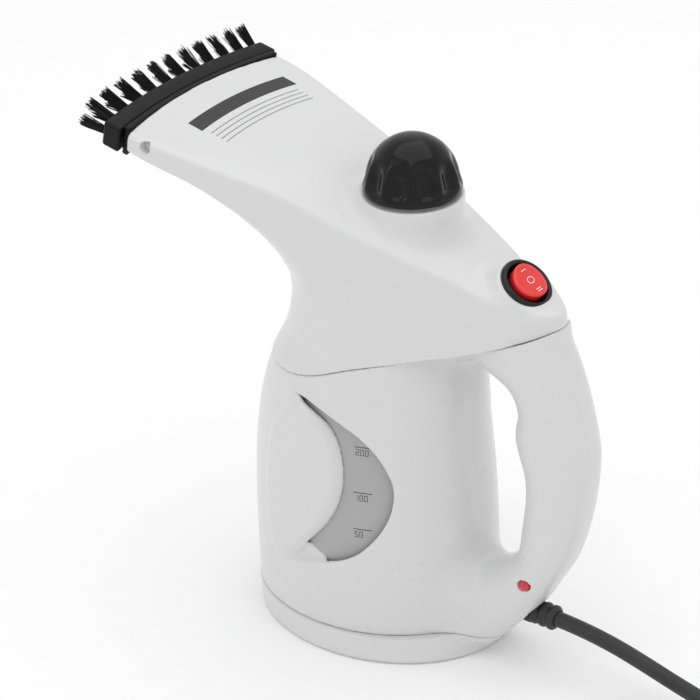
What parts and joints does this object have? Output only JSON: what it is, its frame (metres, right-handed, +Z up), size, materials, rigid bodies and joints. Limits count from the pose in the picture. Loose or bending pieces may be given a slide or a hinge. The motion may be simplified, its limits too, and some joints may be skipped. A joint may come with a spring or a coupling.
{
  "type": "handheld garment steamer",
  "caption": "Handheld garment steamer with a flared steam nozzle, clip-on brush, screw-on filler cap, windowed water tank, loop handle, rocker switch and mains cord.",
  "frame": {"origin": "on the resting plane, on the vertical axis of the water tank", "axes": "+Z up; the steam nozzle points to -X, the handle and cord are on +X, and the halves of the body meet on the plane y = 0"},
  "size_m": [0.3394, 0.1098, 0.236],
  "materials": {
    "shell_white": "glossy moulded plastic",
    "tank_grey": "grey translucent moulded plastic",
    "inner_plastic": "natural moulded plastic",
    "silicone": "soft silicone",
    "alu": "die cast aluminium",
    "steel": "zinc plated steel",
    "thermo_plastic": "moulded phenolic",
    "black_trim": "fine textured black plastic",
    "bristle_black": "nylon filament",
    "cap_black": "glossy black plastic",
    "bezel_black": "semi gloss black plastic",
    "rocker_red": "translucent red plastic",
    "brass_tab": "plain brass",
    "lens_red": "clear red plastic",
    "cord_rubber": "black PVC"
  },
  "bodies": {
    "handpiece": {"base_cover": "shell_white", "base_screws": "steel", "body_screws": "steel", "body_shell_left": "shell_white", "body_shell_right": "shell_white", "cord_bushing": "cord_rubber", "cord_clamp": "black_trim", "filler_neck": "inner_plastic", "head_shell": "shell_white", "heater_element": "alu", "heater_gasket": "silicone", "heater_plate": "alu", "heater_retainer": "steel", "heater_screws": "steel", "hose_clips": "steel", "indicator_lamp": "lens_red", "indicator_lens": "lens_red", "neck_seal": "silicone", "power_cord": "cord_rubber", "steam_dome": "inner_plastic", "steam_duct": "inner_plastic", "steam_hose": "silicone", "steam_outlet": "black_trim", "switch_housing": "bezel_black", "switch_terminals": "brass_tab", "thermal_fuse": "steel", "thermostat": "thermo_plastic", "water_tank": "tank_grey"},
    "cap_ring": {"cap_seal": "silicone"},
    "cap": {"cap_dome": "cap_black", "cap_plug": "cap_black", "cap_screw": "steel"},
    "rocker": {"rocker_button": "rocker_red"},
    "brush": {"brush_bar": "black_trim", "brush_bristles": "bristle_black"}
  },
  "joints": [
    {"name": "cap_rise", "type": "slide", "parent": "handpiece", "child": "cap_ring", "axis": [0, 0, 1], "range_m": [0, 0.0142]},
    {"name": "cap_turn", "type": "hinge", "parent": "cap_ring", "child": "cap", "pos_m": [0.024, 0, 0.21], "axis": [0, 0, 1], "range_deg": [0, 630]},
    {"name": "rocker_tilt", "type": "hinge", "parent": "handpiece", "child": "rocker", "pos_m": [0.07904, 0, 0.17915], "axis": [0, 1, 0], "range_deg": [-10, 10]},
    {"name": "brush_slide", "type": "slide", "parent": "handpiece", "child": "brush", "axis": [-0.9781, 0, 0.2079], "range_m": [0, 0.02]}
  ],
  "couplings": [
    {"joint": "cap_rise", "follows": "cap_turn", "m_per_rad": 0.0012732}
  ]
}
